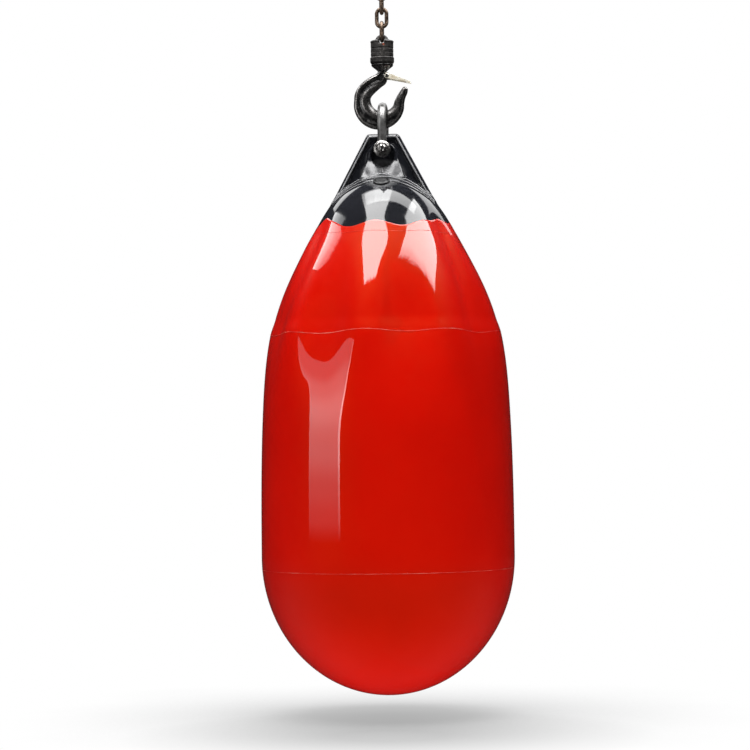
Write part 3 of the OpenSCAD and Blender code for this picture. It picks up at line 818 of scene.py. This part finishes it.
place("latch_pressing", *latch_piece(), "latch", "latch", ("latch",), "latch_zinc", True)


def rivet_piece():
    o = rounded([(0, -14.6, 0), (2.8, -14.5, 1.4), (4.2, -13.1, 0.4), (2.5, -13.1, 0), (2.5, 13.1, 0),
                 (4.2, 13.1, 0.4), (2.8, 14.5, 1.4),
                 (0, 14.6, 0)], 5)
    return turned(lathe(o, 40, False), RIVET @ Matrix.Rotation(math.pi / 2, 4, "X"))


place("latch_rivet_set", *rivet_piece(), "rivet", "hook", ("latch_rivet",), "latch_zinc", True)


def coil():
    a = np.radians(np.arange(30, 991, 10))
    turns = [(3.4 * math.sin(t), 6.3 + 3.6 * t / a[-1], 3.4 * math.cos(t)) for t in a]
    return [(24, 6.3, 1.4), (19, 6.3, 2.0), (14, 6.3, 2.6), (9, 6.3, 3.1),
            (4, 6.3, 3.35)] + turns + [(-5.2, 9.95, -0.6)]


place("latch_coil", *turned(sweep(coil(), 0.55, 10), LATCH), "spring", "latch", ("latch_spring",),
      "spring_steel")

# ---------------------------------------------------------------- swivel

body_lines = {
    "swivel_cup_turned": ("swivel_cup", [
        (7.58, 1144.0, 0.5), (20.0, 1144.0, 1.6), (21.7, 1147.0, 2.0), (21.7, 1154.8, 1.2),
        (20.4, 1156.3, 0.6),
        (18.8, 1156.3, 0.2), (18.8, 1160, 0.3), (15.2, 1160, 0.3), (15.2, 1150, 0.5), (7.58, 1150, 0.3)]),
    "swivel_band_turned": ("swivel_band", [
        (18.8, 1156.9, 0.2), (20.0, 1156.9, 0.5), (20.6, 1157.9, 0.6), (20.6, 1163.2, 0.4),
        (20.1, 1163.8, 0.3),
        (20.1, 1164.4, 0.3), (20.6, 1165.0, 0.4), (20.6, 1170.4, 0.7), (19.9, 1171.3, 0.5),
        (18.8, 1171.3, 0.2)]),
}
for name, (node, pts) in body_lines.items():
    place(name, *lathe(rounded(pts, 5), 96), "swivel", "swivel", (node,), "swivel_steel", True)


def eye_field(x, y, z):
    r = np.hypot(x, y)
    collar = smax(smax(r - 20.6, 1171.8 - z, 1.4), z - 1186.0, 2.0)
    cone_d = smax((r - 18.6 + (z - 1185) * 1.9) / 2.15, 1184.0 - z, 0.6)
    cone_d = smax(cone_d, z - 1190.4, 1.6)
    ring = np.hypot(np.hypot(x, z - 1185.25) - 8.5, y) - 3.75
    ring = smax(ring, 1180 - z, 0.5)
    body = smin(collar, cone_d, 2.4)
    slot_d = smax(np.abs(x) - 5.0, 1180.0 - z, 1.5)
    body = smax(body, -slot_d, 1.2)
    body = smin(body, ring, 1.6)
    sleeve = smax(np.abs(r - 17.0) - 1.8, np.abs(z - 1166) - 6, 0.4)
    body = smin(body, sleeve, 0.4)
    body = smax(body, -smax(r - 15.2, z - 1172, 0.4), 0.4)
    return smax(body, -smax(np.hypot(x - 4, z - 1177.5) - 2.0, y + 14.6, 0.3), 0.3)


v, f = from_field(eye_field, (-22.4, -22.4, 1158), (22.4, 22.4, 1199), 0.5)
place("swivel_eye_cast", v, f, "swivel", "swivel", ("swivel_eye",), "swivel_steel")
screw = rounded([(0, 0, 0), (2.0, 0, 0.2), (2.0, 5.2, 0.5), (1.2, 5.4, 0.2), (1.0, 4.4, 0.1), (0, 4.4, 0)],
                3)
SCREW = Matrix.Translation((4, -14.8, 1177.5)) @ Matrix.Rotation(math.pi / 2, 4, "X")
place("swivel_set_screw_head", *turned(lathe(screw, 32, False), SCREW), "rust", "swivel",
      ("swivel_set_screw",), "screw_steel", True)

# ---------------------------------------------------------------- chain

WIRE, END, RUN = 3.55, 8.9, 14.7
LOWS = {"a": 1261.85, "b": 1236.65, "c": 1211.45, "d": 1186.25}


def link_piece(low, edge_on, turn):
    """One link from its inner bottom up; turn is the side, 1 or -1, that its weld is on."""
    path = []
    for a in np.linspace(math.pi, 2 * math.pi, 26):
        path.append((END * math.cos(a), END + END * math.sin(a)))
    for k in np.linspace(0, 1, 22)[1:-1]:
        path.append((END, END + RUN * k))
    for a in np.linspace(0, math.pi, 26):
        path.append((END * math.cos(a), END + RUN + END * math.sin(a)))
    for k in np.linspace(1, 0, 22)[1:-1]:
        path.append((-END, END + RUN * k))
    rad = []
    for x, z in path:
        # the bar is a little thinner on both sides of its weld
        neck = gauss(abs(z - END - RUN * 0.5) - 2.6, 0.8) * (1 if x * turn > 0 else 0)
        rad.append(WIRE * (1 - 0.035 * neck) - 0.02)
    p = np.array([(x, 0, low + z) for x, z in path])
    if edge_on:
        p = p[:, [1, 0, 2]]
    v, f = sweep(p, rad, 20, True)
    # weld bead: a low collar on one side
    s = np.linspace(-2.0, 2.0, 9)
    c = np.array([(END * turn, 0, low + END + RUN * 0.5 + t) for t in s])
    if edge_on:
        c = c[:, [1, 0, 2]]
    bead = sweep(c, WIRE - 0.3 + 0.42 * np.cos(s / 2.0 * math.pi / 2) ** 0.6, 20)
    return join((v, f), bead)


for i, (k, low) in enumerate(LOWS.items()):
    link = link_piece(low, k in "bd", 1 if k in "ad" else -1)
    place(f"chain_link_{k}", *link, "chain", f"link_{i + 1}", (f"link_{k}",), "chain_steel")

# ---------------------------------------------------------------- ceiling fitting


def plate_field(x, y, z):
    q = smax(smax(np.abs(x) - 50, np.abs(y) - 50, 9.0), np.abs(z - 1314) - 4.0, 1.6)
    holes = np.hypot(np.abs(x) - 35, np.abs(y) - 35) - 5.5
    return smax(q, -holes, 1.0)


v, f = from_field(plate_field, (-53, -53, 1307), (53, 53, 1321), 0.75)
plate = place("ceiling_plate_drilled", v, f, "plate", "ceiling", ("ceiling_plate",), "plate_paint")
plate.visible_glossy = False
EYE_R, EYE_H = 14.75, 1300.6
u_bar = [(0, EYE_R, h) for h in np.linspace(1313, 1301.5, 8)]
u_bar += [(0, EYE_R * math.cos(a), EYE_H + EYE_R * math.sin(a)) for a in np.linspace(0, -math.pi, 40)]
u_bar += [(0, -EYE_R, h) for h in np.linspace(1301.5, 1313, 8)]
place("ceiling_eye_bent", *sweep(u_bar, 4.75, 28), "eye", "ceiling", ("ceiling_eye",), "eye_steel")


def weld_rings():
    parts = []
    for s in (-1, 1):
        t = np.arange(90) * 2 * math.pi / 90
        ring = np.column_stack([6.2 * np.cos(t), s * EYE_R + 6.2 * np.sin(t), np.full(90, 1308.3)])
        parts.append(sweep(ring, 2.2 + 0.28 * np.abs(np.sin(t * 11)), 12, True))
    return join(*parts)


place("ceiling_eye_weld", *weld_rings(), "weld", "ceiling", ("eye_welds",), "weld_bead")

# ---------------------------------------------------------------- nodes that stay as packed

INNER = {"race_lower": "bearing", "thrust_balls": "bearing", "race_upper": "bearing", "shank_nut": "nut",
         "roll_pin": "spring", "water_fill": "water", "valve_seal": "seal"}
for node, mat in INNER.items():
    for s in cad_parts[node].material_slots:
        s.material = MAT[mat]

# ---------------------------------------------------------------- floor, light and camera

scene = bpy.context.scene
scene.view_settings.view_transform = "Standard"
world = bpy.data.worlds.new("studio")
scene.world = world
world.use_nodes = True
wt = world.node_tree
path = wt.nodes.new("ShaderNodeLightPath")
glow = wt.nodes.new("ShaderNodeMapRange")
glow.inputs["To Min"].default_value = 0.03
glow.inputs["To Max"].default_value = 0.013
wt.links.new(path.outputs["Is Glossy Ray"], glow.inputs["Value"])
white = wt.nodes["Background"]
dim = wt.nodes.new("ShaderNodeBackground")
mixer = wt.nodes.new("ShaderNodeMixShader")
white.inputs["Color"].default_value = (1, 1, 1, 1)
white.inputs["Strength"].default_value = 1.0
dim.inputs["Color"].default_value = (1.0, 0.96, 0.92, 1)
wt.links.new(glow.outputs["Result"], dim.inputs["Strength"])
wt.links.new(path.outputs["Is Camera Ray"], mixer.inputs["Fac"])
wt.links.new(dim.outputs[0], mixer.inputs[1])
wt.links.new(white.outputs[0], mixer.inputs[2])
wt.links.new(mixer.outputs[0], wt.nodes["World Output"].inputs["Surface"])

FLOOR = -DROP - 0.036


def floor_piece():
    m = Nodes("floor_white_painted_shadow")
    # painted shadow: the floor's glow is darkened by ambient occlusion round the bag
    painted_occlusion_shade = m.add("ShaderNodeAmbientOcclusion", samples=16)
    painted_occlusion_shade.inputs["Distance"].default_value = 0.62
    shade = m.ramp(painted_occlusion_shade.outputs["AO"], [(0.0, (0.44, 0.44, 0.44)), (0.55, (0.54, 0.54, 0.54)),
                                        (0.94, (1, 1, 1))])
    # painted shadow: a fixed soft grey blot centred 0.36 m in front of the bag, which does not move with it
    at = m.add("ShaderNodeMapping")
    at.inputs["Scale"].default_value = (1 / 0.46, 1 / 0.44, 0)
    at.inputs["Location"].default_value = (-0.03 / 0.46, 0.36 / 0.44, 0)
    ball = m.add("ShaderNodeTexGradient", gradient_type="SPHERICAL")
    m.link(m.coord, at.inputs["Vector"])
    m.link(at.outputs["Vector"], ball.inputs["Vector"])
    cast = m.ramp(ball.outputs["Fac"], [(0.0, (1, 1, 1)), (0.3, (0.90, 0.90, 0.90)),
                                        (0.8, (0.68, 0.68, 0.68))])
    both = m.add("ShaderNodeMix", data_type="RGBA", blend_type="MULTIPLY")
    both.inputs["Factor"].default_value = 1.0
    m.link(shade, both.inputs[6])
    m.link(cast, both.inputs[7])
    shade = both.outputs[2]
    seen = m.add("ShaderNodeLightPath")
    glow = m.remap(seen.outputs["Is Camera Ray"], 0.02, 1.0, 0.0, 1.0)
    m.set(Base_Color=(0, 0, 0, 1), Specular_IOR_Level=0.0, Emission_Color=shade, Emission_Strength=glow)
    t = np.arange(96) * 2 * math.pi / 96
    rings = [np.column_stack([r * np.cos(t), r * np.sin(t), np.full(96, FLOOR)])
             for r in (0.001, 0.3, 0.8, 1.6, 3, 6)]
    me = bpy.data.meshes.new("floor")
    me.from_pydata(np.vstack(rings).tolist(), [], grid_faces(len(rings), 96))
    me.materials.append(m.mat)
    ob = bpy.data.objects.new("floor", me)
    bpy.context.collection.objects.link(ob)


floor_piece()


def lamp(name, centre, aim, size, watts, spin=0.0, glossy=True, diffuse=True,
         across=None, along=None, ragged=0.0):
    """A soft box; across and along are brightness stops over its width and its height."""
    d = bpy.data.lights.new(name, "AREA")
    d.shape = "RECTANGLE"
    d.size, d.size_y = size
    d.energy = watts
    o = bpy.data.objects.new(name, d)
    bpy.context.collection.objects.link(o)
    o.location = centre
    q = (Vector(aim) - Vector(centre)).to_track_quat("-Z", "Y")
    o.rotation_euler = (q.to_matrix() @ Matrix.Rotation(spin, 3, "Z")).to_euler()
    o.visible_glossy = glossy
    o.visible_diffuse = diffuse
    o.visible_camera = False
    d.use_nodes = True
    t = d.node_tree
    place_on = t.nodes.new("ShaderNodeNewGeometry").outputs["Parametric"]
    split = t.nodes.new("ShaderNodeSeparateXYZ")
    t.links.new(place_on, split.inputs[0])
    spot = [split.outputs[0], split.outputs[1]]
    if ragged:
        grain = t.nodes.new("ShaderNodeTexNoise")
        grain.noise_dimensions = "1D"
        grain.inputs["Scale"].default_value = 11
        grain.inputs["Detail"].default_value = 3
        t.links.new(spot[0], grain.inputs["W"])
        shift = t.nodes.new("ShaderNodeMath")
        shift.operation = "MULTIPLY_ADD"
        shift.inputs[1].default_value = ragged * 2
        t.links.new(grain.outputs["Fac"], shift.inputs[0])
        t.links.new(spot[1], shift.inputs[2])
        back = t.nodes.new("ShaderNodeMath")
        back.inputs[1].default_value = -ragged
        t.links.new(shift.outputs[0], back.inputs[0])
        spot[1] = back.outputs[0]
    level = None
    for axis, stops in ((0, across), (1, along)):
        if not stops:
            continue
        ramp = t.nodes.new("ShaderNodeValToRGB")
        ramp.color_ramp.interpolation = "EASE"
        e = ramp.color_ramp.elements
        while len(e) < len(stops):
            e.new(0.5)
        for el, (p, v) in zip(e, stops):
            el.position = p
            el.color = (v, v, v, 1)
        t.links.new(spot[axis], ramp.inputs["Fac"])
        if level is None:
            level = ramp.outputs["Color"]
        else:
            both = t.nodes.new("ShaderNodeMath")
            both.operation = "MULTIPLY"
            t.links.new(level, both.inputs[0])
            t.links.new(ramp.outputs["Color"], both.inputs[1])
            level = both.outputs[0]
    if level is not None:
        t.links.new(level, t.nodes["Emission"].inputs["Strength"])
    return o


# three long ceiling banks, seen as streaks on the shoulder, and one tall strip at the left
TOP = 1.98
lamp("bank_centre", (-0.40, -0.95, TOP), (-0.40, -0.95, -1), (1.5, 3.3), 195, diffuse=False,
     along=((0.0, 0.0), (0.06, 1.0), (0.6, 1.0), (0.85, 0.45), (1.0, 0.3)), ragged=0.10)
lamp("bank_right", (2.02, -0.68, TOP), (2.02, -0.68, -1), (1.5, 3.4), 185, math.radians(-4), diffuse=False,
     along=((0.0, 0.0), (0.14, 0.7), (0.3, 1.0), (1.0, 1.0)), ragged=0.14)
lamp("bank_left", (-3.19, 0.71, TOP), (-3.19, 0.71, -1), (1.28, 2.38), 78, math.radians(14), diffuse=False,
     along=((0.0, 0.0), (0.12, 0.4), (0.5, 0.75), (1.0, 1.0)), ragged=0.14)
lamp("bank_band", (0.35, 0.12, TOP + 0.02), (0.35, 0.12, -1), (2.7, 0.95), 64, diffuse=False,
     across=((0.0, 0.7), (0.3, 1.0), (1.0, 0.8)))
STRIP_AT, STRIP_FAR = math.radians(-52.5), 2.85
lamp("strip_left", (STRIP_FAR * math.sin(STRIP_AT), -STRIP_FAR * math.cos(STRIP_AT), -0.328),
     (0, 0, -0.328),
     (1.58, 1.58), 28, diffuse=False, across=((0.0, 1.3), (0.04, 1.0), (0.93, 1.0), (0.96, 2.8)),
     along=((0.0, 0.02), (0.05, 0.17), (0.12, 0.29), (0.23, 0.62), (0.5, 1.0), (0.7, 0.67), (0.85, 0.36)))
lamp("bank_back", (0, 3.2, TOP), (0, 3.2, -1), (6.0, 2.0), 110, diffuse=False)
lamp("soft_top", (0, -0.3, TOP), (0, -0.3, -1), (3.6, 3.6), 236, glossy=False)
lamp("soft_crown", (0, -0.9, TOP), (0, -0.9, -1), (1.2, 1.2), 62, glossy=False)
lamp("soft_low", (0, -1.6, FLOOR + 0.004), (0, -1.6, 1), (4.0, 4.0), 60, glossy=False)

cam_data = bpy.data.cameras.new("view")
cam_data.lens, cam_data.sensor_width = 139.0, 36.0
cam = bpy.data.objects.new("view", cam_data)
bpy.context.collection.objects.link(cam)
az = math.radians(5.0)
back_v = Vector((math.sin(az), -math.cos(az), 0))
right_v = Vector((math.cos(az), math.sin(az), 0))
cam.location = back_v * 5.25 + right_v * -0.020 + Vector((0, 0, 0.480 - DROP))
look = (-back_v).to_track_quat("-Z", "Y").to_matrix().to_4x4()
pitch, roll = Matrix.Rotation(math.radians(1.08), 4, "X"), Matrix.Rotation(math.radians(-0.70), 4, "Z")
cam.rotation_euler = (look @ pitch @ roll).to_euler()
cam_data.clip_end = 200
scene.camera = cam
